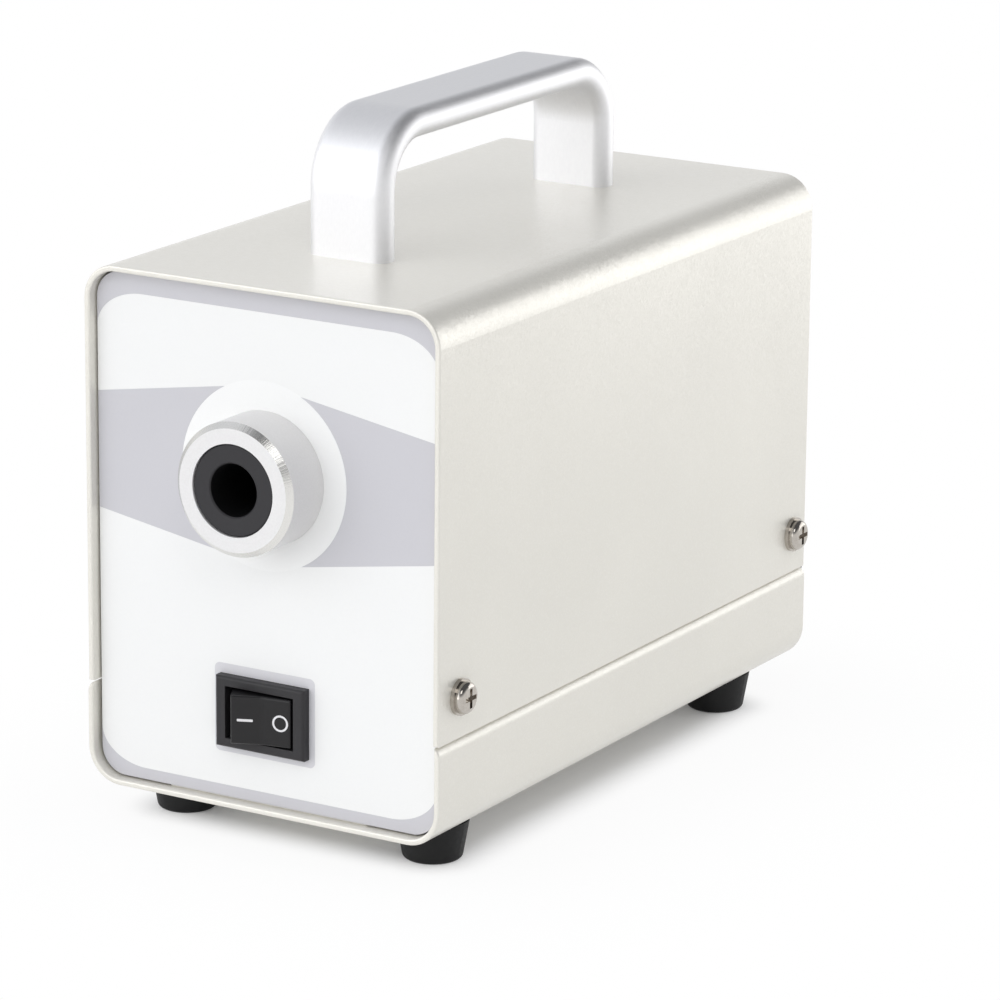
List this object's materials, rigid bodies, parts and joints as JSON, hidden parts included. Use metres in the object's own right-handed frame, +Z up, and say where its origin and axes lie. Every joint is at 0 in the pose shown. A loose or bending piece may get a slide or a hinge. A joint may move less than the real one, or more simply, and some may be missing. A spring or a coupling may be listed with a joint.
{
  "type": "fiber optic illuminator",
  "caption": "Bench light source for a fibre light guide: sheet-metal case with carry handle, round light port, rocker switch, fan, mains inlet and dimmer.",
  "frame": {"origin": "middle of the whole object's footprint, on the surface it stands on", "axes": "+X to the right seen from the front, +Y to the rear, +Z up; the light port faces -Y"},
  "size_m": [0.085, 0.165, 0.14],
  "materials": {
    "case_paint": "satin, fine sparkle",
    "front_print": "printed film, satin",
    "panel_metal": "painted off-white",
    "handle_metal": "clear anodised, satin",
    "port_metal": "turned, clear anodised",
    "black_anodised": "black anodised",
    "bezel_plastic": "moulded, fine grain",
    "rocker_plastic": "moulded, satin",
    "knob_plastic": "moulded, fluted",
    "foot_rubber": "moulded",
    "nickel_steel": "nickel plated",
    "zinc_steel": "zinc plated",
    "guard_wire": "bright plated wire",
    "fan_plastic": "glass-filled, black",
    "inlet_plastic": "moulded, black",
    "brass_pins": "nickel-plated brass",
    "terminal_metal": "bare brass",
    "pot_metal": "pressed steel",
    "lens_glass": "polished",
    "led_ceramic": "white package, yellow phosphor",
    "board_green": "glass-epoxy, green solder mask",
    "board_white": "metal core board, white mask",
    "core_ferrite": "ferrite",
    "can_sleeve": "shrunk sleeve",
    "choke_wire": "enamelled winding",
    "transistor_black": "moulded package on a plate",
    "block_green": "moulded terminal block",
    "mains_insulation": "soft sleeve",
    "earth_insulation": "green and yellow sleeve",
    "light_insulation": "soft sleeve"
  },
  "bodies": {
    "case": {"top_cover": "case_paint", "base_tray": "case_paint", "front_panel": "panel_metal", "rear_panel": "panel_metal", "front_film": "front_print", "carry_handle": "handle_metal", "handle_screws": "zinc_steel", "handle_washers": "zinc_steel", "rubber_feet": "foot_rubber", "foot_screws": "zinc_steel", "foot_nuts": "zinc_steel", "side_screws": "nickel_steel", "side_washers": "nickel_steel", "panel_screws": "zinc_steel", "panel_nuts": "zinc_steel", "light_port": "port_metal", "port_sleeve": "black_anodised", "port_nut": "zinc_steel", "lens_holder": "black_anodised", "condenser_lens": "lens_glass", "lens_ring": "black_anodised", "led_board": "board_white", "led_emitter": "led_ceramic", "optics_screws": "zinc_steel", "heat_sink": "black_anodised", "engine_bracket": "zinc_steel", "bracket_screws": "zinc_steel", "bracket_nuts": "zinc_steel", "fan_frame": "fan_plastic", "fan_guard": "guard_wire", "fan_screws": "nickel_steel", "fan_nuts": "zinc_steel", "mains_inlet": "inlet_plastic", "inlet_pins": "brass_pins", "inlet_screws": "nickel_steel", "inlet_nuts": "zinc_steel", "dimmer": "pot_metal", "dimmer_nut": "nickel_steel", "dimmer_terminals": "terminal_metal", "switch_body": "bezel_plastic", "switch_terminals": "terminal_metal", "driver_board": "board_green", "board_standoffs": "terminal_metal", "board_screws": "zinc_steel", "transformer": "core_ferrite", "capacitors": "can_sleeve", "choke": "choke_wire", "transistor": "transistor_black", "terminal_blocks": "block_green", "earth_stud": "zinc_steel", "mains_leads": "mains_insulation", "earth_lead": "earth_insulation", "led_leads": "light_insulation", "fan_leads": "light_insulation", "dimmer_leads": "light_insulation"},
    "rocker": {"switch_rocker": "rocker_plastic"},
    "rotor": {"fan_rotor": "fan_plastic"},
    "knob": {"dimmer_knob": "knob_plastic", "dimmer_shaft": "nickel_steel"}
  },
  "joints": [
    {"name": "power_rocker", "type": "hinge", "parent": "case", "child": "rocker", "pos_m": [-0.00035, -0.06978, 0.0273], "axis": [0, 0, -1], "range_deg": [0, 32]},
    {"name": "fan_spin", "type": "hinge", "parent": "case", "child": "rotor", "pos_m": [0, 0.062, 0.076], "axis": [0, 1, 0], "continuous": true},
    {"name": "dimmer_turn", "type": "hinge", "parent": "case", "child": "knob", "pos_m": [0.027, 0.0765, 0.0275], "axis": [0, -1, 0], "range_deg": [0, 300]}
  ]
}
